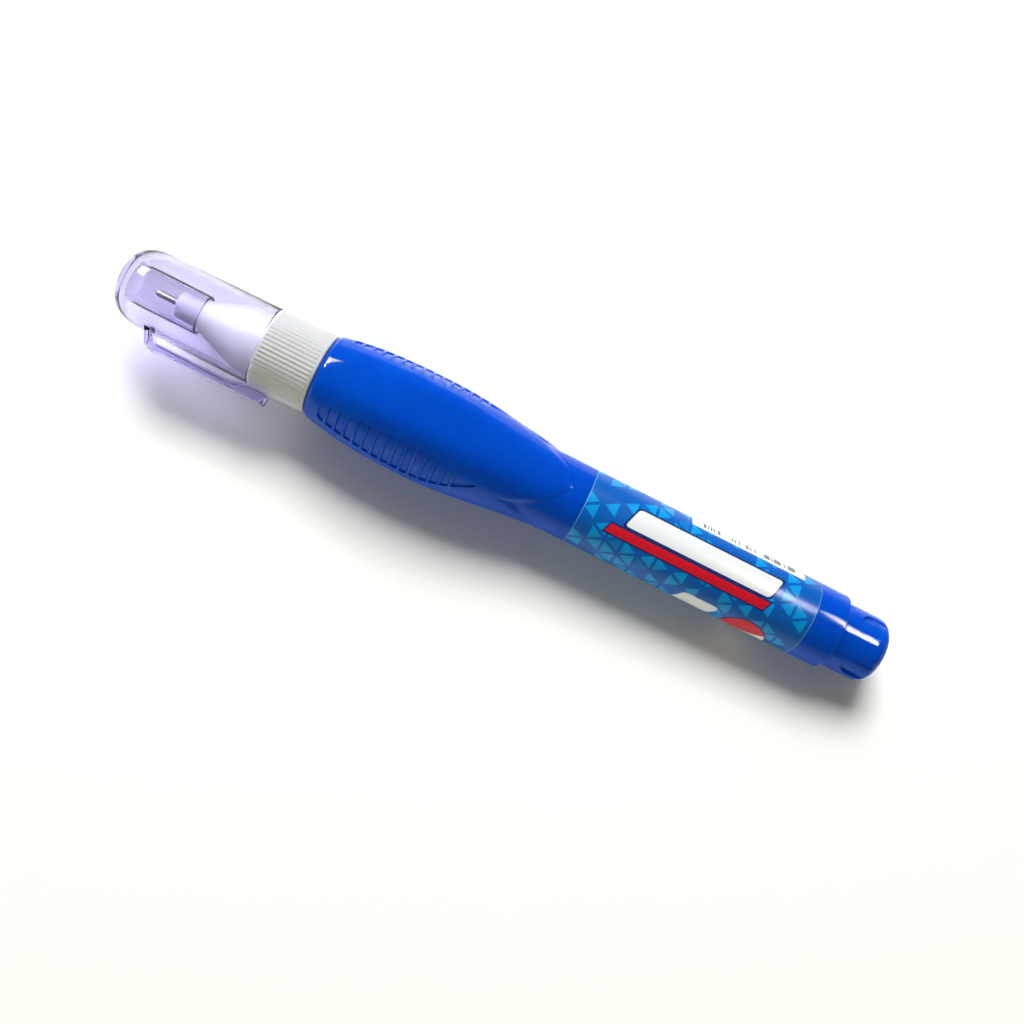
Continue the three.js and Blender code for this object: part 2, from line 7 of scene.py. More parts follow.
import bpy
import numpy as np
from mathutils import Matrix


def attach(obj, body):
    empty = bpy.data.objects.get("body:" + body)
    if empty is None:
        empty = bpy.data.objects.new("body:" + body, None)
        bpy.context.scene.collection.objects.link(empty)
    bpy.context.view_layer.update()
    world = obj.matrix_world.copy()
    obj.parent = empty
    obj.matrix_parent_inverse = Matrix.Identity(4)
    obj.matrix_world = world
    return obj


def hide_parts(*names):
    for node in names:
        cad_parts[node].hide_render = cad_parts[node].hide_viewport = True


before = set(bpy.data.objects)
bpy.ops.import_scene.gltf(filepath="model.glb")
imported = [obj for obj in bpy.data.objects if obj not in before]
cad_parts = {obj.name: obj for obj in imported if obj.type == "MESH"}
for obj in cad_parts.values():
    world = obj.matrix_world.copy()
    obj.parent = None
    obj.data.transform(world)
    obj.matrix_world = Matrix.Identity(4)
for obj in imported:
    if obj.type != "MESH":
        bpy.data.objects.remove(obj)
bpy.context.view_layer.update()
print("loaded the packed pen, nodes:", ", ".join(sorted(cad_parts)))

mm = 0.001


def smooth(value, low, high):
    # 0 below low, 1 above high, and 3t^2 - 2t^3 between them
    t = np.clip((value - low) / (high - low), 0, 1)
    return t * t * (3 - 2 * t)


def quarterRound(distance, radius):
    # how far a rounded edge falls back at a distance from it: R - sqrt(R^2 - (R - d)^2)
    left = np.clip(radius - distance, 0, radius)
    return radius - np.sqrt(radius ** 2 - left ** 2)


def filleted(corners, steps):
    # corners are (x, radius, fillet); each one becomes the curve (1-s)^2 A + 2s(1-s) P + s^2 B,
    # where A and B lie the fillet's length before and after the corner P
    points = np.array([c[:2] for c in corners], float)
    s = np.linspace(0, 1, steps)[:, None]
    line = [points[:1]]
    for before, corner, after, size in zip(points, points[1:], points[2:], [c[2] for c in corners[1:]]):
        back, ahead = before - corner, after - corner
        reach = min(size, 0.48 * np.linalg.norm(back), 0.48 * np.linalg.norm(ahead))
        if reach < 1e-4:
            line.append(corner[None])
            continue
        a = corner + back / np.linalg.norm(back) * reach
        b = corner + ahead / np.linalg.norm(ahead) * reach
        line.append((1 - s) ** 2 * a + 2 * s * (1 - s) * corner + s ** 2 * b)
    line.append(points[-1:])
    return np.vstack(line)


def gridObject(name, points, along=False, poles=False):
    # points is (rows, columns, 3) in millimetres; each quad joins a point to the next column and row, and
    # the columns close. along closes the rows too, and poles fans the first and last row to one point each.
    rows, columns = points.shape[:2]
    index = np.arange(rows * columns).reshape(rows, columns)
    vertices = points.reshape(-1, 3)
    if along:
        index = np.vstack([index, index[:1]])
    index = np.hstack([index, index[:, :1]])
    quads = np.stack([index[:-1, :-1], index[:-1, 1:], index[1:, 1:], index[1:, :-1]], -1).reshape(-1, 4)
    faces = quads.tolist()
    if poles:
        ends = np.array([points[0].mean(0), points[-1].mean(0)])
        vertices = np.vstack([vertices, ends])
        first, last = rows * columns, rows * columns + 1
        faces += np.stack([index[0, 1:], index[0, :-1], np.full(columns, first)], -1).tolist()
        faces += np.stack([index[-1, :-1], index[-1, 1:], np.full(columns, last)], -1).tolist()
    a, b, c = (vertices[quads[:, k]] for k in (0, 1, 2))
    a2, b2, c2 = (vertices[quads[:, k]] for k in (0, 2, 3))
    volume = (a * np.cross(b, c)).sum() + (a2 * np.cross(b2, c2)).sum()
    if volume < 0:  # the rows run the other way, so every face is turned to look outwards
        faces = [face[::-1] for face in faces]
    mesh = bpy.data.meshes.new(name)
    mesh.from_pydata((vertices * mm).tolist(), [], faces)
    mesh.update()
    return finishedObject(name, mesh)


def finishedObject(name, mesh, sharp=38):
    mesh.shade_smooth()
    mesh.set_sharp_from_angle(angle=math.radians(sharp))
    made = bpy.data.objects.new(name, mesh)
    bpy.context.scene.collection.objects.link(made)
    return made


def turnedPoints(x, radius, angle):
    # (x, r sin a, r cos a), with angle a in degrees
    x, radius, angle = np.broadcast_arrays(x, radius, np.radians(angle))
    return np.stack([x, radius * np.sin(angle), radius * np.cos(angle)], -1)


def lathed(name, outline, columns, poles=False):
    # an outline of (x, radius) turned about the X axis, closed on itself or at its two poles
    angle = (np.arange(columns) + 0.5) * 360 / columns
    points = turnedPoints(outline[:, :1], outline[:, 1:], angle[None])
    return gridObject(name, points, along=not poles, poles=poles)


def stations(*parts):
    # rows without doubles, from low to high
    return np.unique(np.round(np.concatenate([np.atleast_1d(p) for p in parts]), 4))


class Wire:
    # one output of a node; the operators add Math nodes
    def __init__(self, shade, socket):
        self.shade, self.socket = shade, socket

    def maths(self, operation, *others):
        values = dict(enumerate((self,) + others))
        return self.shade.node("ShaderNodeMath", {"operation": operation}, values)

    def __add__(self, other): return self.maths("ADD", other)
    def __sub__(self, other): return self.maths("SUBTRACT", other)
    def __mul__(self, other): return self.maths("MULTIPLY", other)
    def __truediv__(self, other): return self.maths("DIVIDE", other)
    def __rsub__(self, other): return (self * -1) + other
    def __gt__(self, other): return self.maths("GREATER_THAN", other)
    __radd__, __rmul__ = __add__, __mul__

    def size(self): return self.maths("ABSOLUTE")
    def floor(self): return self.maths("FLOOR")
    def part(self): return self.maths("FRACT")
    def least(self, other): return self.maths("MINIMUM", other)
    def most(self, other): return self.maths("MAXIMUM", other)
    def power(self, other): return self.maths("POWER", other)

    def ramp(self, low, high):
        # 0 at low, 1 at high, straight between and level outside
        return self.shade.node("ShaderNodeMapRange", {"clamp": True},
                               {0: self, 1: low, 2: high, 3: 0.0, 4: 1.0})


class Shade:
    # a material whose nodes are all made by node(); constants are the surface's level sockets
    def __init__(self, name, constants):
        self.material = bpy.data.materials.new(name)
        self.material.use_nodes = True
        self.tree = self.material.node_tree
        self.surface = self.tree.nodes["Principled BSDF"]
        self.output = self.tree.nodes["Material Output"]
        for socket, value in constants.items():
            self.surface.inputs[socket].default_value = value

    def node(self, kind, settings=None, values=None, output=0):
        made = self.tree.nodes.new(kind)
        for key, value in (settings or {}).items():
            if key == "stops":
                ramp = made.color_ramp
                while len(ramp.elements) < len(value):
                    ramp.elements.new(1)
                for element, (place, colour) in zip(ramp.elements, value):
                    element.position, element.color = place, colour
            elif key == "steps":
                made.color_ramp.interpolation = value
            else:
                setattr(made, key, value)
        for key, value in (values or {}).items():
            if isinstance(value, Wire):
                self.tree.links.new(value.socket, made.inputs[key])
            else:
                made.inputs[key].default_value = value
        return Wire(self, made.outputs[output])

    def feed(self, socket, wire):
        self.tree.links.new(wire.socket, self.surface.inputs[socket])

    def place(self):
        # object coordinates in millimetres: along the pen, across and up
        where = self.node("ShaderNodeTexCoord", output="Object")
        return tuple(self.node("ShaderNodeSeparateXYZ", None, {0: where}, k) * 1000 for k in range(3))

    def mix(self, share, low, high):
        return self.node("ShaderNodeMix", {"data_type": "RGBA"}, {0: share, 6: low, 7: high}, 2)

    def noise(self, scale, detail=2.0, roughness=0.5):
        where = self.node("ShaderNodeTexCoord", output="Object")
        return self.node("ShaderNodeTexNoise", None, {"Vector": where, "Scale": scale, "Detail": detail,
                                                      "Roughness": roughness})

    def bump(self, height, distance, strength):
        # the distance is in millimetres
        values = {"Height": height, "Distance": distance * mm, "Strength": strength}
        self.feed("Normal", self.node("ShaderNodeBump", None, values))


def tone(red, green, blue):
    # a colour as it looks on a screen, 0 to 255, as linear light
    part = np.array([red, green, blue]) / 255
    linear = np.where(part <= 0.04045, part / 12.92, ((part + 0.055) / 1.055) ** 2.4)
    return (*linear.tolist(), 1.0)


view = {
    "lens": 40.06,  # of a square 36 mm picture
    "place": (73.7, 56.205, 178.260),
    "right": (-0.89275728, -0.42077647, 0.16103294),
    "down": (-0.44813435, 0.86620652, -0.22104721),
    "forward": (-0.04647632, -0.2695059, -0.96187656),
}
camera = bpy.data.cameras.new("camera")
camera.lens, camera.sensor_width = view["lens"], 36
camera.clip_start, camera.clip_end = 0.01, 20
cameraObject = bpy.data.objects.new("camera", camera)
turn = np.eye(4)
turn[:3, 0] = view["right"]
turn[:3, 1] = -np.array(view["down"])
turn[:3, 2] = -np.array(view["forward"])
turn[:3, 3] = np.array(view["place"]) * mm
cameraObject.matrix_world = turn.T.tolist()
bpy.context.scene.collection.objects.link(cameraObject)
bpy.context.scene.camera = cameraObject

ground = {
    "gripAt": 82.0, "gripHeight": 8.70,  # the panel under the fattest part
    "stepAt": 8.9, "stepHeight": 6.50,  # the edge of the handle
    "gap": 0.02, "reach": 1500, "colour": (0.98, 0.975, 0.94, 1), "glow": 0.01,
}


def floorHeight(x):
    slope = (ground["gripHeight"] - ground["stepHeight"]) / (ground["gripAt"] - ground["stepAt"])
    return -ground["stepHeight"] - ground["gap"] - slope * (x - ground["stepAt"])


across = np.array([-ground["reach"], ground["reach"]])
gridX, gridY = np.meshgrid(across, across)
floorPoints = np.stack([gridX, gridY, floorHeight(gridX)], -1)
floorMesh = bpy.data.meshes.new("floor")
floorMesh.from_pydata((floorPoints.reshape(-1, 3) * mm).tolist(), [], [(0, 1, 3, 2)])
floor = bpy.data.objects.new("floor", floorMesh)
bpy.context.scene.collection.objects.link(floor)

paper = Shade("floorWhite", {
    "Roughness": 0.9, "Base Color": ground["colour"], "Emission Strength": ground["glow"]})
rays = paper.tree.nodes.new("ShaderNodeLightPath").outputs
seen = Wire(paper, rays["Is Camera Ray"]).most(Wire(paper, rays["Is Glossy Ray"]))
seen = seen.most(Wire(paper, rays["Is Transmission Ray"]))
paper.feed("Emission Color", paper.mix(seen, (0, 0, 0, 1), (1, 1, 1, 1)))
floor.data.materials.append(paper.material)

lamps = {
    # the key makes the shadow, low and fill lift the sides; card and spark only show as bright reflections
    "key": {"from": (0.27, -0.593, 0.759), "size": (520, 480), "power": 15.2, "use": "diffuse"},
    "low": {"from": (0.20, -0.82, 0.54), "size": (900, 320), "power": 1.6, "use": "diffuse"},
    "fill": {"from": (0.10, 0.96, 0.26), "size": (900, 300), "power": 3.2, "use": "diffuse",
             "tint": (1, 0.97, 0.7)},
    "card": {"from": (0.618, -0.318, 0.719), "size": (298, 420), "power": 27.7, "use": "glossy"},
    "spark": {"from": (-0.434, -0.27, 0.86), "size": (150, 280), "power": 9.0, "use": "glossy"},
}
room = {
    "middle": (65, 0, 0), "distance": 1100,  # where the lamps look, and how far away they are
    "horizon": 0.26, "zenith": 0.06, "fall": 3,  # the studio is bright low down and dark overhead
    "white": 1.0, "gleam": 0.04, "through": 0.05,  # the backdrop, its share in reflections and in the cap
    "colour": (1, 0.95, 0.82, 1),
}
for name, lamp in lamps.items():
    light = bpy.data.lights.new(name, "AREA")
    light.shape = "RECTANGLE"
    light.size, light.size_y = lamp["size"][0] * mm, lamp["size"][1] * mm
    light.energy = lamp["power"]
    light.color = lamp.get("tint", (1, 1, 1))
    holder = bpy.data.objects.new(name, light)
    away = np.array(lamp["from"]) / np.linalg.norm(lamp["from"])
    holder.location = (np.array(room["middle"]) + away * room["distance"]) * mm
    side = np.cross((0, 1, 0), away)
    side /= np.linalg.norm(side)
    facing = np.eye(4)
    facing[:3, 0], facing[:3, 1], facing[:3, 2] = side, np.cross(away, side), away
    facing[:3, 3] = holder.location
    holder.matrix_world = facing.T.tolist()
    holder.visible_glossy = lamp["use"] == "glossy"
    holder.visible_diffuse = lamp["use"] == "diffuse"
    holder.visible_transmission = False  # their light reaches the nozzle by the shadow rays alone
    bpy.context.scene.collection.objects.link(holder)

world = bpy.data.worlds.new("studio")
world.use_nodes = True
bpy.context.scene.world = world


class Studio(Shade):
    # the same node method for the world's tree
    def __init__(self, tree):
        self.tree = tree


studio = Studio(world.node_tree)
direction = studio.node("ShaderNodeTexCoord", output="Generated")
height = studio.node("ShaderNodeSeparateXYZ", None, {0: direction}, 2).most(0)
glare = (1 - height).power(room["fall"]) * (room["horizon"] - room["zenith"]) + room["zenith"]
rays = studio.tree.nodes.new("ShaderNodeLightPath").outputs
clearly = Wire(studio, rays["Is Camera Ray"])
clearly = clearly.most(Wire(studio, rays["Is Transmission Ray"]) * room["through"])
clearly = clearly.most(Wire(studio, rays["Is Glossy Ray"]) * room["gleam"])
glare = glare * (1 - clearly) + clearly * room["white"]
backdrop = world.node_tree.nodes["Background"].inputs
backdrop["Color"].default_value = room["colour"]
world.node_tree.links.new(glare.socket, backdrop["Strength"])
bpy.context.scene.view_settings.view_transform = "Standard"
print("camera, floor and lamps are set")


barrel = {
    "length": 102.7, "tail": 8.7, "tailRadius": 5.62, "tailEdge": 2.6,
    "bodyRadius": 6.5, "stepEdge": 0.35,
    "swell": 2.79, "flat": 0.6, "faceFlat": 0.75, "faceHalf": 33.0,
    "frontRun": 19.2, "frontPower": 2.6, "waistRun": 25.0,
    "mouthRadius": 7.0, "mouthEdge": 0.9, "bore": 6.04, "neck": 94.7,
    "petals": 3, "petalExtra": 1.2, "valleyShort": 3.0,
    "foot": (58.2, 7.5, 0.5), "crest": (60.0, 8.9, 0.5),  # a petal's outlines: tip, length, power
    "grooveDepth": 0.12, "grooveWidth": 0.22, "grooveFade": (50, 18),  # round the petals' tips
    "panelEnd": 72.1, "panelFront": 99.9, "panelHalf": 21.7, "panelTaper": 28.0, "panelPower": 1.7,
    "panelTurn": 2.2, "panelLean": 7.0, "panelRound": 1.1, "panelPoint": 3.6, "panelDepth": 0.35,
    "pitch": 1.715, "bar": 0.45, "cellCorner": 0.14, "cellWall": 0.12, "cellLip": 0.05,
    "panelEdge": (0.10, 0.32),  # the columns at a panel's edge, this far outside and inside it
    "notches": 4, "notchTurn": 62.0, "notchWidth": 4.1, "notchLength": 6.0, "notchDepth": 0.5,
    "notchWall": 0.22, "notchLip": 0.04, "notchLift": 0.02, "notchEdge": (0.06, 0.3),
    "labelStart": 14.1, "labelEnd": 55.6, "seatRadius": 6.33,
    "wall": 1.0, "tailWall": 1.2, "handleBore": 5.45,
    "columns": (15, 8, 30, 8, 15),  # of one third: smooth face, panel edge, panel, panel edge, smooth face
    "notchColumns": (17, 6, 11, 6, 17),  # of one quarter of the tail, in the same way
    "tones": ((0, 76, 196), (0, 81, 203)), "clouds": 90, "refraction": 1.26,
    "roughness": 0.03, "roughnessRange": 0.06, "relief": 0.02,
    "partingTurn": 5.5, "partingArc": 0.13, "partingWidth": 0.11,  # degrees, mm for a degree, mm
}
fattest = barrel["length"] - barrel["frontRun"]
waist = fattest - barrel["waistRun"]
gripRadius = barrel["bodyRadius"] + barrel["swell"]
share = 360 / barrel["petals"]


def frontProfile(x):
    # R - (R - mouth) t^2.6, with t from the fattest part to the mouth
    t = np.clip((x - fattest) / barrel["frontRun"], 0, 1)
    return gripRadius - (gripRadius - barrel["mouthRadius"]) * t ** barrel["frontPower"]


def waistProfile(x, run):
    # half a cosine from the fattest part down to the handle
    t = np.clip((fattest - x) / run, 0, 1)
    return gripRadius - barrel["swell"] * (1 - np.cos(np.pi * t)) / 2


def petalAngle(angle):
    # angle from the middle of the nearest smooth face
    turned = np.mod(angle, share)
    return np.minimum(turned, share - turned)


def petalHalf(x, outline):
    # half width of a petal's outline, in degrees: 60 sign(x - tip) (|x - tip| / length)^power
    tip, length, power = outline
    return share / 2 * np.sign(x - tip) * (np.abs(x - tip) / length) ** power


def petalSlope(x, angle):
    # 0 on a petal's crest line and 1 on its foot line, straight between and past them
    foot, crest = petalHalf(x, barrel["foot"]), petalHalf(x, barrel["crest"])
    return (petalAngle(angle) - crest) / (foot - crest)


def barrelRadius(x, angle):
    # front: profile less the flats of panels and smooth faces; waist: petal profile, falling to the
    # valley profile past the crests
    onPanel = (1 - np.cos(np.radians(barrel["petals"] * petalAngle(angle)))) / 2
    front = frontProfile(x)
    onFace = np.cos(np.pi / 2 * np.clip(petalAngle(angle) / barrel["faceHalf"], 0, 1)) ** 2
    flats = barrel["flat"] * onPanel + barrel["faceFlat"] * onFace
    frontFlat = flats * (front - barrel["mouthRadius"]) / (gripRadius - barrel["mouthRadius"])
    petal = waistProfile(x, barrel["waistRun"] + barrel["petalExtra"])
    valley = waistProfile(x, barrel["waistRun"] - barrel["valleyShort"])
    backFlat = barrel["flat"] * onPanel * (valley - barrel["bodyRadius"])
    backFlat = (backFlat + barrel["faceFlat"] * onFace * (petal - barrel["bodyRadius"])) / barrel["swell"]
    slope = petalSlope(x, angle)
    groove = np.clip(1 - np.abs(slope - 1 + barrel["grooveWidth"]) / barrel["grooveWidth"], 0, 1)
    groove = barrel["grooveDepth"] * smooth(groove, 0, 1) * smooth(petalAngle(angle), *barrel["grooveFade"])
    back = petal - (petal - valley) * smooth(slope, 0, 1) - backFlat - groove
    onHandle = x < barrel["foot"][0]
    return np.where(x >= fattest, front - frontFlat, np.where(onHandle, barrel["bodyRadius"], back))


def panelHalf(x):
    # half the panel's angle: 21.7 (1 - t^2) to the waist, 21.7 (1 - t^1.7) with rounded corners to the mouth
    reach = fattest - barrel["panelEnd"]
    toWaist = barrel["panelHalf"] * (1 - (np.clip(fattest - x, 0, reach) / reach) ** 2)
    ahead = np.clip(x - fattest, 0, None) / barrel["panelTaper"]
    corner = np.degrees(quarterRound(barrel["panelFront"] - x, barrel["panelRound"]) / frontProfile(x))
    return np.where(x < fattest, toWaist, barrel["panelHalf"] * (1 - ahead ** barrel["panelPower"]) - corner)


def panelLean(x):
    back = np.clip((fattest - x) / (fattest - barrel["panelEnd"]), 0, 1)
    return -barrel["panelLean"] * back ** 2


def cellRecess(x, offset):
    # depth of the ladder at an offset in degrees from the panel's middle: every cell is a rounded
    # box in (x, arc); its distance is |max(q, 0)| + min(max(q), 0) - corner, with q = |p| - half + corner
    cells = int((barrel["panelFront"] - barrel["panelEnd"] - barrel["panelPoint"]) / barrel["pitch"])
    number = np.clip(np.floor((barrel["panelFront"] - x) / barrel["pitch"]), 0, cells)
    high = barrel["panelFront"] - number * barrel["pitch"]
    low = np.where(number < cells, high - barrel["pitch"] + barrel["bar"], barrel["panelEnd"])
    radius = barrelRadius(x, share / 2 + barrel["panelTurn"] + offset)
    halfArc = np.radians(np.maximum(panelHalf(x), 0)) * radius
    corner = np.minimum(barrel["cellCorner"], halfArc)
    qx = np.abs(x - (low + high) / 2) - (high - low) / 2 + corner
    qs = np.abs(np.radians(offset - panelLean(x))) * radius - halfArc + corner
    away = np.hypot(np.maximum(qx, 0), np.maximum(qs, 0)) + np.minimum(np.maximum(qx, qs), 0) - corner
    return barrel["panelDepth"] * smooth(-away, -barrel["cellLip"], barrel["cellWall"])


def notchAngles(x):
    # half the angle of a notch: a strip that ends in a half round
    half = barrel["notchWidth"] / 2
    past = np.clip(x - (barrel["notchLength"] - half), 0, half)
    return np.degrees(np.sqrt(half ** 2 - past ** 2) / barrel["tailRadius"])


def notchRadius(x, angle):
    # the arch is a strip that ends in a half round: distance = |(max(x - centre, 0), arc)| - half width
    step = 360 / barrel["notches"]
    turned = np.mod(angle - barrel["notchTurn"] + step / 2, step) - step / 2
    arc = np.radians(turned) * barrel["tailRadius"]
    half = barrel["notchWidth"] / 2
    away = np.hypot(np.maximum(x - (barrel["notchLength"] - half), 0), arc) - half
    inside = smooth(-away, -barrel["notchLip"], barrel["notchWall"])
    return barrel["tailRadius"] + barrel["notchLift"] - (barrel["notchDepth"] + barrel["notchLift"]) * inside


def outerRadius(x, angle):
    tail = np.minimum(barrel["tailRadius"] - quarterRound(x, barrel["tailEdge"]), notchRadius(x, angle))
    handle = barrelRadius(x, angle) - quarterRound(x - barrel["tail"], barrel["stepEdge"])
    handle = handle - quarterRound(barrel["length"] - x, barrel["mouthEdge"])
    handle = np.where((x > barrel["labelStart"]) & (x < barrel["labelEnd"]), barrel["seatRadius"], handle)
    offset = np.mod(angle, share) - share / 2 - barrel["panelTurn"]
    onGrip = (x > barrel["panelEnd"]) & (x < barrel["panelFront"] + 0.2)
    handle = handle - np.where(onGrip, cellRecess(x, offset), 0)
    return np.where(x > barrel["tail"], handle, tail)


def tailColumns(x):
    # on the tail the columns of a quarter follow the edges of its notch
    half = np.maximum(notchAngles(x), 0.8)
    outside, inside = (math.degrees(edge / barrel["tailRadius"]) for edge in barrel["notchEdge"])
    inside = np.minimum(inside, 0.7 * half)
    side = np.full_like(x, 180 / barrel["notches"])
    knots = np.stack([-side, -half - outside, inside - half, half - inside, half + outside, side], -1)
    parts = [knots[:, k:k + 1] + (knots[:, k + 1:k + 2] - knots[:, k:k + 1]) * np.arange(n)[None] / n
             for k, n in enumerate(barrel["notchColumns"])]
    quarter = np.hstack(parts) + barrel["notchTurn"]
    angle = np.hstack([quarter + 360 / barrel["notches"] * k for k in range(barrel["notches"])])
    early = round((barrel["notchTurn"] - 180 / barrel["notches"]) * angle.shape[1] / 360)
    return np.hstack([angle[:, -early:] - 360, angle[:, :-early]])


def columnAngles(x):
    # the columns of a third follow the edges of its panel, and spread evenly behind the panel
    half = np.maximum(panelHalf(x), 0.6)
    middle = barrel["panelTurn"] + panelLean(x)
    outside, inside = (np.degrees(edge / barrelRadius(x, 0)) for edge in barrel["panelEdge"])
    inside = np.minimum(inside, 0.7 * half)
    edge = share / 2 - 0.4
    knots = np.stack([
        np.full_like(x, -share / 2), np.maximum(middle - half - outside, -edge),
        np.maximum(middle - half + inside, -edge + 0.2), np.minimum(middle + half - inside, edge - 0.2),
        np.minimum(middle + half + outside, edge), np.full_like(x, share / 2)], -1)
    counts = barrel["columns"]
    parts = [knots[:, k:k + 1] + (knots[:, k + 1:k + 2] - knots[:, k:k + 1]) * np.arange(n)[None] / n
             for k, n in enumerate(counts)]
    followed = np.hstack(parts)
    even = -share / 2 + share * np.arange(sum(counts))[None] / sum(counts)
    here = smooth(x, barrel["crest"][0] + 6, barrel["panelEnd"])[:, None]
    third = even * (1 - here) + followed * here
    whole = np.hstack([third + share * (k + 0.5) for k in range(barrel["petals"])])
    onTail = smooth(x, barrel["tail"], barrel["notchLength"] + 0.3)[:, None]
    return whole * (1 - onTail) + tailColumns(x) * onTail


hair = 0.004  # two rows this far apart make a square step
tailRows = stations(0.0, barrel["tailEdge"] * (1 - np.cos(np.linspace(0, np.pi / 2, 10))),
                    np.arange(2.9, 4.3, 0.3), np.arange(4.4, 6.15, 0.06), np.linspace(6.3, barrel["tail"], 7))
stepRows = barrel["tail"] + hair + barrel["stepEdge"] * (1 - np.cos(np.linspace(0, np.pi / 2, 6)))
gripCells = np.arange(15)[:, None]
barEdges = np.array([-0.12, -0.02, 0.06, 0.14, 0.24])
frontEdges = barrel["panelFront"] - gripCells * barrel["pitch"]
cellRows = np.hstack([frontEdges - barEdges, frontEdges - barrel["pitch"] + barrel["bar"] + barEdges,
                      frontEdges - 0.65]).ravel()
gripRows = stations(np.arange(waist - 2, 69, 0.16), np.arange(69, barrel["panelEnd"], 0.3),
                    barrel["panelEnd"] + np.arange(0, 4, 0.2), cellRows[cellRows > barrel["panelEnd"]])
mouthRows = stations(np.linspace(100.1, 101.7, 6),
                     barrel["length"] - barrel["mouthEdge"] * (1 - np.cos(np.linspace(0, np.pi / 2, 7))))
handleRows = stations(np.linspace(9.2, barrel["labelStart"], 5), barrel["labelStart"] + hair,
                      np.linspace(barrel["labelStart"] + 1, barrel["labelEnd"] - 1, 8),
                      barrel["labelEnd"] - hair, barrel["labelEnd"], waist - 3)
outerX = stations(tailRows, stepRows, handleRows, gripRows, mouthRows)
angles = columnAngles(outerX)
radii = outerRadius(outerX[:, None], angles)
faceRadii = np.array([0.8, 1.8, 2.6])[:, None] * np.ones_like(angles[:1])  # the flat end of the tail
# the inside wall from the mouth to the tail, as (x, radius, fillet)
cavity = filleted([
    (barrel["length"], 6.3, 0), (barrel["length"], barrel["bore"], 0.12),
    (barrel["neck"], barrel["bore"], 0.2), (barrel["neck"] - 2, 7.05, 0.5),
    (88, 7.25, 1), (fattest, 7.3, 2), (76, 6.8, 2), (66, 5.65, 2),
    (waist, barrel["handleBore"], 1), (10.6, barrel["handleBore"], 0.3),
    (9.7, barrel["tailRadius"] - barrel["wall"], 0.3),
    (barrel["tailWall"] + 1, barrel["tailRadius"] - barrel["wall"], 0.2),
    (barrel["tailWall"], barrel["tailRadius"] - barrel["wall"] - 1, 0.2), (barrel["tailWall"], 0.8, 0)], 4)
allX = np.concatenate([np.zeros(3), outerX, cavity[:, 0]])
allAngles = np.vstack([np.repeat(angles[:1], 3, 0), angles, np.repeat(angles[-1:], len(cavity), 0)])
allRadii = np.vstack([faceRadii, radii, cavity[:, 1:] * np.ones_like(angles[:1])])
barrelShell = gridObject("barrelShell", turnedPoints(allX[:, None], allRadii, allAngles), poles=True)
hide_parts("barrel")
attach(barrelShell, "pen")

blue = Shade("barrelPlastic", {
    "IOR": barrel["refraction"], "Subsurface Weight": 0.7, "Subsurface Radius": (0.3, 0.6, 1.0),
    "Subsurface Scale": 0.0015})
alongX, acrossY, upZ = blue.place()
cloudy = blue.noise(barrel["clouds"], 3, 0.5)
darker, lighter = (tone(*colour) for colour in barrel["tones"])
blue.feed("Base Color", blue.mix(cloudy.ramp(0.35, 0.65), darker, lighter))
blue.feed("Roughness", blue.noise(2500, 3, 0.6) * barrel["roughnessRange"] + barrel["roughness"])
partingAngle = acrossY.maths("ARCTAN2", upZ) * (180 / math.pi) + barrel["partingTurn"]
partingLine = (partingAngle.size() * barrel["partingArc"]).ramp(barrel["partingWidth"], 0.0) * 0.5
grain = blue.noise(3500, 2, 0.5) * 0.12
blue.bump(grain + partingLine, barrel["relief"], 0.5)
barrelShell.data.materials.append(blue.material)
print("barrel:", len(barrelShell.data.polygons), "faces")


label = {
    "start": 14.15, "end": 55.55, "inner": 6.38, "outer": 6.50, "edge": 0.04,
    "around": 12,  # triangles round the barrel
    "midFrom": 0.50, "baseFrom": 0.60,  # half of the triangles are bright and a tenth are mid
    "gap": 0.52, "soft": 0.05, "refraction": 1.32,
    "colours": {"base": tone(8, 92, 182), "mid": tone(0, 118, 196), "bright": tone(0, 150, 222),
                "white": tone(232, 235, 237), "outline": tone(14, 40, 105), "red": tone(214, 26, 44),
                "ink": tone(96, 100, 106), "paintedEndHighlight": tone(96, 160, 225)},
    # boxes are (x from, x to, angle from, angle to), and the disc is (x, angle, radius)
    "namePanel": (21.6, 47.6, -17.5, 14.5), "rule": (22.0, 50.6, 20.0, 34.0), "slant": -0.35,
    "badge": (28.7, 35.1, 66.0, 98.0), "disc": (22.6, 97.0, 4.0), "discCut": (-0.6, 0.8, 0.4), "border": 0.3,
    "codePanel": (17.4, 38.2, -120.0, -40.5), "codeBars": (19.2, 36.4, -108.0, -47.0), "codeBar": 0.26,
    # a painted highlight along both ends of the label: where it fades, in mm from the end, and how strongly
    # it is mixed in
    "paintedEndHighlightEdge": (0.2, 0.12), "paintedEndHighlightShare": 0.75,
}
edge = label["edge"]
labelOutline = filleted([
    (34, label["inner"], 0), (label["end"], label["inner"], edge), (label["end"], label["outer"], edge),
    (label["start"], label["outer"], edge), (label["start"], label["inner"], edge),
    (33, label["inner"], 0)], 4)
labelWrap = lathed("labelWrap", labelOutline, 192)
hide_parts("label_sleeve")
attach(labelWrap, "pen")

film = Shade("labelFilm", {"IOR": label["refraction"]})
ink = label["colours"]
alongX, acrossY, upZ = film.place()
arcDegrees = acrossY.maths("ARCTAN2", upZ) * (180 / math.pi)
degreeArc = math.pi / 180 * label["outer"]
arc = arcDegrees * degreeArc
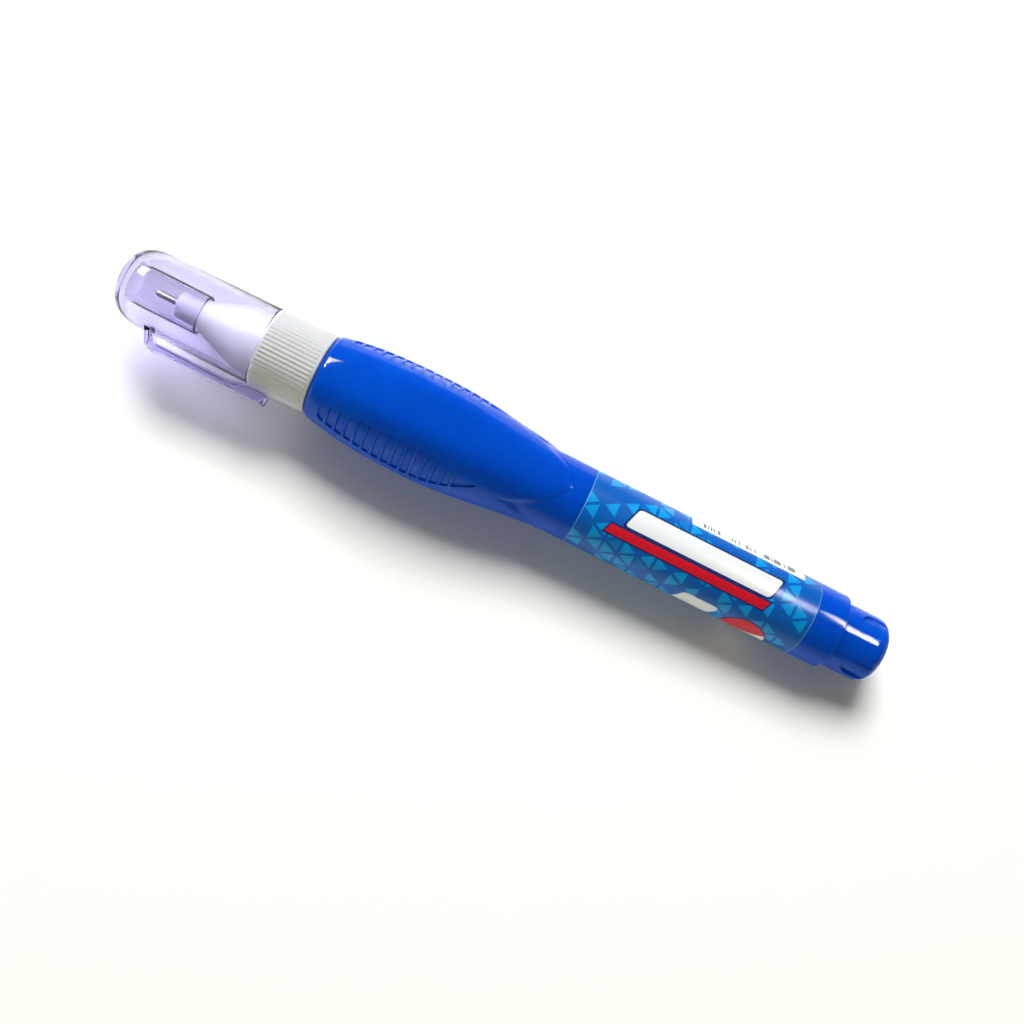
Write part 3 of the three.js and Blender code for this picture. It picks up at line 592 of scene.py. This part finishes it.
# triangle pattern: p = a e1 + b e2 with e1 = (0, side) and e2 = (height, side / 2);
# the parts of a and b add up to more than 1 in a cell's upper triangle
side = 2 * math.pi * label["outer"] / label["around"]
height = side * math.sqrt(3) / 2
beta = alongX / height
alpha = arc / side - beta * 0.5
partA, partB = alpha.part(), beta.part()
upper = (partA + partB) > 1.0
inset = (upper - partA).size().least((upper - partB).size()).least((partA + partB - 1).size()) * height
triangle = inset.ramp(label["gap"] / 2 - label["soft"], label["gap"] / 2 + label["soft"])
corner = film.node("ShaderNodeCombineXYZ", None, {0: alpha.floor(), 1: beta.floor(), 2: upper})
draw = film.node("ShaderNodeTexWhiteNoise", {"noise_dimensions": "3D"}, {0: corner})
tint = film.node("ShaderNodeValToRGB", {"steps": "CONSTANT", "stops": [
    (0, ink["bright"]), (label["midFrom"], ink["mid"]), (label["baseFrom"], ink["base"])]}, {0: draw})
printed = film.mix(triangle, ink["base"], tint)


def boxMask(x0, x1, a0, a1, corner, grow=0.0, slant=0.0):
    # 1 inside a box of x and angle whose ends may slant; distance as in cellRecess, in millimetres
    middleArc, halfArc = (a0 + a1) / 2 * degreeArc, (a1 - a0) / 2 * degreeArc + grow
    shifted = arc - middleArc
    qx = (alongX + shifted * slant - (x0 + x1) / 2).size() - ((x1 - x0) / 2 + grow - corner)
    qs = shifted.size() - (halfArc - corner)
    outside = (qx.most(0) * qx.most(0) + qs.most(0) * qs.most(0)).power(0.5)
    away = outside + qx.most(qs).least(0) - corner
    return away.ramp(label["soft"], -label["soft"])


def discMask(x, angle, radius):
    dx, ds = alongX - x, arc - angle * degreeArc
    return ((dx * dx + ds * ds).power(0.5) - radius).ramp(label["soft"], -label["soft"])


slant = label["slant"]
printed = film.mix(boxMask(*label["rule"], 0.1, 0.28, slant), printed, ink["outline"])
printed = film.mix(boxMask(*label["rule"], 0.1, 0.0, slant), printed, ink["red"])
printed = film.mix(boxMask(*label["namePanel"], 0.6, 0.34, slant), printed, ink["outline"])
printed = film.mix(boxMask(*label["namePanel"], 0.6, 0.0, slant), printed, ink["white"])
printed = film.mix(boxMask(*label["badge"], 0.7, 0.0, slant), printed, ink["white"])
discX, discAngle, discRadius = label["disc"]
printed = film.mix(discMask(discX, discAngle, discRadius + label["border"]), printed, ink["outline"])
printed = film.mix(discMask(discX, discAngle, discRadius), printed, ink["red"])
cutX, cutArc, cutAt = label["discCut"]  # the line that parts the disc's two colours
past = alongX * cutX + arc * cutArc - (cutX * discX + cutArc * discAngle * degreeArc + cutAt)
lowerPart = past.ramp(-0.03, 0.03)
printed = film.mix(discMask(discX, discAngle, discRadius) * lowerPart, printed, ink["white"])
printed = film.mix(boxMask(*label["codePanel"], 0.2), printed, ink["white"])
barNumber = (alongX / label["codeBar"]).floor()
barDraw = film.node("ShaderNodeTexWhiteNoise", {"noise_dimensions": "1D"}, {1: barNumber})
bars = boxMask(*label["codeBars"], 0.02) * (barDraw > 0.5)
printed = film.mix(bars, printed, ink["ink"])
# painted highlight: a lighter blue line along both ends of the label, where the film's edge catches the light
fromEnd = (alongX - (label["start"] + label["end"]) / 2).size() * -1 + (label["end"] - label["start"]) / 2
printed = film.mix(fromEnd.ramp(*label["paintedEndHighlightEdge"]) * label["paintedEndHighlightShare"], printed, ink["paintedEndHighlight"])
film.feed("Base Color", printed)
film.feed("Roughness", film.noise(90, 2, 0.5) * 0.1 + 0.2)
film.bump(film.noise(60, 1, 0.5), 0.02, 0.1)
labelWrap.data.materials.append(film.material)
print("label sleeve:", len(labelWrap.data.polygons), "faces")


nozzle = {
    "columns": 580, "ribs": 58, "ribDepth": 0.13, "ribStart": 103.15, "ribEnd": 112.35, "ribFade": 0.18,
    "collar": 6.82, "tones": ((196, 198, 201), (203, 204, 207)), "relief": 0.02,
}
# its cross-section from the holder's end over the collar to the plug and back inside, as (x, radius, fillet)
nozzleOutline = filleted([
    (126.0, 0.65, 0), (128.25, 0.65, 0.05), (128.25, 2.35, 1.0), (124.3, 2.35, 0.3), (123.8, 2.62, 0.3),
    (117.2, 5.14, 0.9), (115.9, 5.6, 0.9), (113.1, 5.62, 0.2), (112.7, 5.62, 0.12), (112.7, 6.82, 0.3),
    (102.76, 6.82, 0.2), (102.76, 5.87, 0.1), (98.25, 5.87, 0.4), (97.85, 5.99, 0.4), (97.0, 5.87, 0.4),
    (95.0, 5.87, 0.4), (95.0, 4.87, 0.2), (111.6, 4.87, 1.0), (115.65, 1.8, 0.3), (117.25, 1.8, 0.05),
    (117.25, 1.2, 0.05), (125.25, 1.2, 0.1), (125.25, 0.65, 0.05)], 7)
# extra rows along the collar, so that the ribs can start and stop
where = np.flatnonzero((nozzleOutline[:-1, 0] > 112.3) & (nozzleOutline[1:, 0] < 103.1) &
                       (nozzleOutline[1:, 1] > 6.7))[0]
collarX = np.concatenate([
    np.linspace(112.38, 112.1, 6), np.linspace(111.5, 103.7, 4), np.linspace(103.4, 103.1, 6)])
collarRows = np.stack([collarX, np.full_like(collarX, nozzle["collar"])], -1)
nozzleOutline = np.vstack([nozzleOutline[:where + 1], collarRows, nozzleOutline[where + 1:]])
nozzleAngle = (np.arange(nozzle["columns"]) * 360 / nozzle["columns"])[None]
nozzleX, nozzleR = nozzleOutline[:, :1], nozzleOutline[:, 1:]
onRibs = smooth(nozzleX, nozzle["ribStart"], nozzle["ribStart"] + nozzle["ribFade"])
onRibs = onRibs * (1 - smooth(nozzleX, nozzle["ribEnd"] - nozzle["ribFade"], nozzle["ribEnd"]))
onRibs = onRibs * (nozzleR > 6.5)  # not inside
wave = (1 - np.cos(np.radians(nozzleAngle * nozzle["ribs"]))) / 2  # 0 on a rib, 1 in a groove
nozzlePoints = turnedPoints(nozzleX, nozzleR - nozzle["ribDepth"] * onRibs * wave, nozzleAngle)
nozzleBody = gridObject("nozzleBody", nozzlePoints, along=True)
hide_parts("nozzle")
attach(nozzleBody, "pen")

white = Shade("nozzlePlastic", {
    "Subsurface Weight": 0.6, "Subsurface Radius": (1.0, 1.0, 0.9), "Subsurface Scale": 0.003})
cloudy = white.noise(220, 2, 0.5)
darker, lighter = (tone(*colour) for colour in nozzle["tones"])
white.feed("Base Color", white.mix(cloudy, darker, lighter))
white.feed("Roughness", white.noise(1800, 2, 0.5) * 0.14 + 0.36)
white.bump(white.noise(2600, 2, 0.5), nozzle["relief"], 0.4)
nozzleBody.data.materials.append(white.material)
print("nozzle:", len(nozzleBody.data.polygons), "faces")


valve = {  # cross-sections as (x, radius, fillet)
    "tip": [(126.35, 0.32, 0), (124.6, 0.32, 0.02), (124.6, 1.05, 0.08), (125.2, 1.05, 0.08),
            (125.2, 0.6, 0.06), (131.65, 0.6, 0.35), (132.15, 0.47, 0.08), (132.15, 0.32, 0.03),
            (127.35, 0.32, 0)],
    "needle": [(114.95, 0.1, 0), (114.95, 0.4, 0.1), (123.9, 0.4, 0.05), (123.9, 0.95, 0.08),
               (124.5, 0.95, 0.08), (124.5, 0.25, 0.05), (132.3, 0.25, 0.05), (132.5, 0.17, 0.1),
               (132.55, 0.04, 0)],
}
metalTube = lathed("metalTube", filleted(valve["tip"], 6), 64)
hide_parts("metal_tip")
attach(metalTube, "pen")
needleRod = lathed("needleRod", filleted(valve["needle"], 6), 40, poles=True)
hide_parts("valve_needle")
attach(needleRod, "needle")


def steelShade(name, colour, rough, lines):
    # drawn steel: fine rings along the axis, this many to a millimetre
    steel = Shade(name, {"Metallic": 1.0})
    along = steel.place()[0]
    ring = steel.node("ShaderNodeTexNoise", {"noise_dimensions": "1D"}, {"W": along * lines, "Detail": 2.0})
    steel.feed("Base Color", steel.mix(ring, tone(*colour), tone(*(c * 0.9 for c in colour))))
    steel.feed("Roughness", ring * 0.12 + rough)
    steel.bump(ring, 0.01, 0.3)
    return steel.material


tipSteel = steelShade("tipSteel", (186, 178, 178), 0.34, 9)
springSteel = steelShade("springSteel", (196, 198, 204), 0.18, 4)
metalTube.data.materials.append(tipSteel)
needleRod.data.materials.append(tipSteel)

milky = Shade("retainerPlastic", {"Roughness": 0.5})
milky.feed("Base Color", milky.mix(milky.noise(400), tone(226, 226, 222), tone(236, 236, 233)))
milky.bump(milky.noise(2600), nozzle["relief"], 0.4)
for node, finish in (("valve_spring", springSteel), ("spring_retainer", milky.material)):
    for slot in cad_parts[node].material_slots:
        slot.link = "OBJECT"
        slot.material = finish
print("valve pieces are made")


ball = {"radius": 3.0, "middle": (4.35, 0, -1.45), "rows": 50, "columns": 96}
down = np.linspace(0, np.pi, ball["rows"])[1:-1, None]
about = np.linspace(0, 2 * np.pi, ball["columns"] + 1)[:-1][None]
unit = [np.cos(down) * np.ones_like(about), np.sin(down) * np.sin(about), np.sin(down) * np.cos(about)]
ballPoints = ball["radius"] * np.stack(unit, -1) + ball["middle"]
mixingBall = gridObject("mixingBall", ballPoints, poles=True)
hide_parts("mixing_ball")
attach(mixingBall, "ball")
mixingBall.data.materials.append(steelShade("ballSteel", (200, 202, 206), 0.1, 0.6))


cap = {
    "mouth": 112.76, "end": 138.0, "radius": 6.72, "taper": 0.3, "wall": 0.9, "bore": 5.82,
    "dome": 7.0, "power": 3.0, "domeWall": 1.3, "sleeve": 3.4, "sleeveBore": 2.8, "sleeveRim": 123.8,
    "columns": 144, "surface": (0.90, 0.89, 0.94, 1), "inside": (0.48, 0.44, 0.92, 1), "density": 190.0,
    "refraction": 1.38, "passed": (0.955, 0.955, 0.955, 1),
    "shade": 0.6, "shadeAlong": (133.0, 130.5), "shadeDown": (7.5, -2.0),  # lamp light that the wall stops
}
clip = {
    "angle": 97.5, "width": 4.5, "gap": 0.95, "thickness": 1.1, "overhang": 4.3, "rootInset": 7.1,
    "rootLean": 1.6, "web": 1.3, "webLean": 0.9, "nub": 6.4, "nubRamp": 2.9, "nubGap": 0.3, "tip": 1.1,
    "edge": 0.22, "fromMouth": 0.24,
}
domeStart = cap["end"] - cap["dome"]
domeRadius = cap["radius"] - cap["taper"]


def domeCurve(length, radius, count):
    # a quarter of |x/length|^3 + |r/radius|^3 = 1, from the wall to the pole
    t = np.linspace(0, np.pi / 2, count)
    power = 2 / cap["power"]
    return np.stack([domeStart + length * np.sin(t) ** power, radius * np.cos(t) ** power], -1)


outer = domeCurve(cap["dome"], domeRadius, 42)[:-1]
inner = domeCurve(cap["dome"] - cap["domeWall"], domeRadius - cap["wall"], 36)
inner = inner[inner[:, 1] > cap["sleeve"] + 0.25]
innerEnd = cap["end"] - cap["domeWall"]
mouthPart = filleted([
    (domeStart - 1, cap["radius"] - cap["taper"] * 0.94, 0), (cap["mouth"], cap["radius"], 0.2),
    (cap["mouth"], cap["bore"], 0.2), (domeStart - 1, cap["bore"] - cap["taper"] * 0.94, 0)], 6)
sleevePart = filleted([
    tuple(inner[-1]) + (0,), (inner[-1][0] + 0.15, cap["sleeve"], 0.2),
    (cap["sleeveRim"], cap["sleeve"], 0.15), (cap["sleeveRim"], cap["sleeveBore"], 0.15),
    (innerEnd, cap["sleeveBore"], 0.4), (innerEnd, 0.6, 0)], 6)
capOutline = np.vstack([outer[::-1], mouthPart, inner, sleevePart[1:]])
capShell = lathed("capShell", capOutline, cap["columns"], poles=True)

# side view of the clip as (x, height over the axis), as in the part's source
under = nozzle["collar"] + clip["gap"]
over = under + clip["thickness"]
root = cap["end"] - clip["rootInset"]
buried = cap["radius"] - cap["taper"] - cap["wall"] * 0.6
free = cap["mouth"] + clip["fromMouth"] - clip["overhang"]
nub = nozzle["collar"] + clip["nubGap"]
clipLine = filleted([
    (root, buried, 0), (root - clip["rootLean"], over, 0.5), (free, over, clip["tip"]), (free, nub, 0.25),
    (free + clip["nub"] - clip["nubRamp"], nub, 0.5), (free + clip["nub"], under, 0.8),
    (root - clip["webLean"] - clip["web"], under, 0.5), (root - clip["web"], buried, 0)], 6)
sides = np.stack([clipLine, clipLine])
offsets = np.array([-clip["width"] / 2, clip["width"] / 2])[:, None, None]
lean = math.radians(clip["angle"])
flat = np.concatenate([sides, np.broadcast_to(offsets, (2, len(clipLine), 1))], -1)  # x, height, sideways
clipPoints = np.stack([flat[..., 0], flat[..., 1] * math.sin(lean) + flat[..., 2] * math.cos(lean),
                       flat[..., 1] * math.cos(lean) - flat[..., 2] * math.sin(lean)], -1)
count = len(clipLine)
clipFaces = [[k, (k + 1) % count, count + (k + 1) % count, count + k] for k in range(count)]
clipFaces += [list(range(count))[::-1], list(range(count, 2 * count))]
clipMesh = bpy.data.meshes.new("clipBlank")
clipMesh.from_pydata((clipPoints.reshape(-1, 3) * mm).tolist(), [], clipFaces)
clipMesh.update()
clipBlank = bpy.data.objects.new("clipBlank", clipMesh)
bpy.context.scene.collection.objects.link(clipBlank)
rounding = clipBlank.modifiers.new("edges", "BEVEL")
rounding.width, rounding.segments, rounding.limit_method = clip["edge"] * mm, 3, "ANGLE"
rounding.angle_limit = math.radians(50)
joining = capShell.modifiers.new("clip", "BOOLEAN")
joining.operation, joining.object, joining.solver = "UNION", clipBlank, "EXACT"
bpy.context.view_layer.update()
joined = bpy.data.meshes.new_from_object(capShell.evaluated_get(bpy.context.evaluated_depsgraph_get()))
capMoulding = finishedObject("capMoulding", joined, 30)
for spare in (capShell, clipBlank):
    bpy.data.objects.remove(spare)
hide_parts("cap")
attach(capMoulding, "cap")

clear = Shade("capClear", {
    "IOR": cap["refraction"], "Transmission Weight": 1.0, "Base Color": cap["surface"]})
absorb = clear.node("ShaderNodeVolumeAbsorption", None, {"Color": cap["inside"], "Density": cap["density"]})
clear.tree.links.new(absorb.socket, clear.output.inputs["Volume"])
clear.feed("Roughness", clear.noise(500, 2, 0.5) * 0.03 + 0.01)
# the lamps shine straight through the thin wall, but less so low down and away from the dome
alongX, acrossY, upZ = clear.place()
shaded = alongX.ramp(*cap["shadeAlong"]) * upZ.ramp(*cap["shadeDown"]) * cap["shade"]
rays = clear.tree.nodes.new("ShaderNodeLightPath").outputs
clearness = Wire(clear, rays["Is Shadow Ray"]) * (1 - shaded)
finish = Wire(clear, clear.surface.outputs[0])
passed = clear.node("ShaderNodeBsdfTransparent", None, {0: cap["passed"]})
mixed = clear.node("ShaderNodeMixShader", None, {0: clearness, 1: finish, 2: passed})
clear.tree.links.new(mixed.socket, clear.output.inputs["Surface"])
capMoulding.data.materials.clear()
capMoulding.data.materials.append(clear.material)
print("cap:", len(capMoulding.data.polygons), "faces")
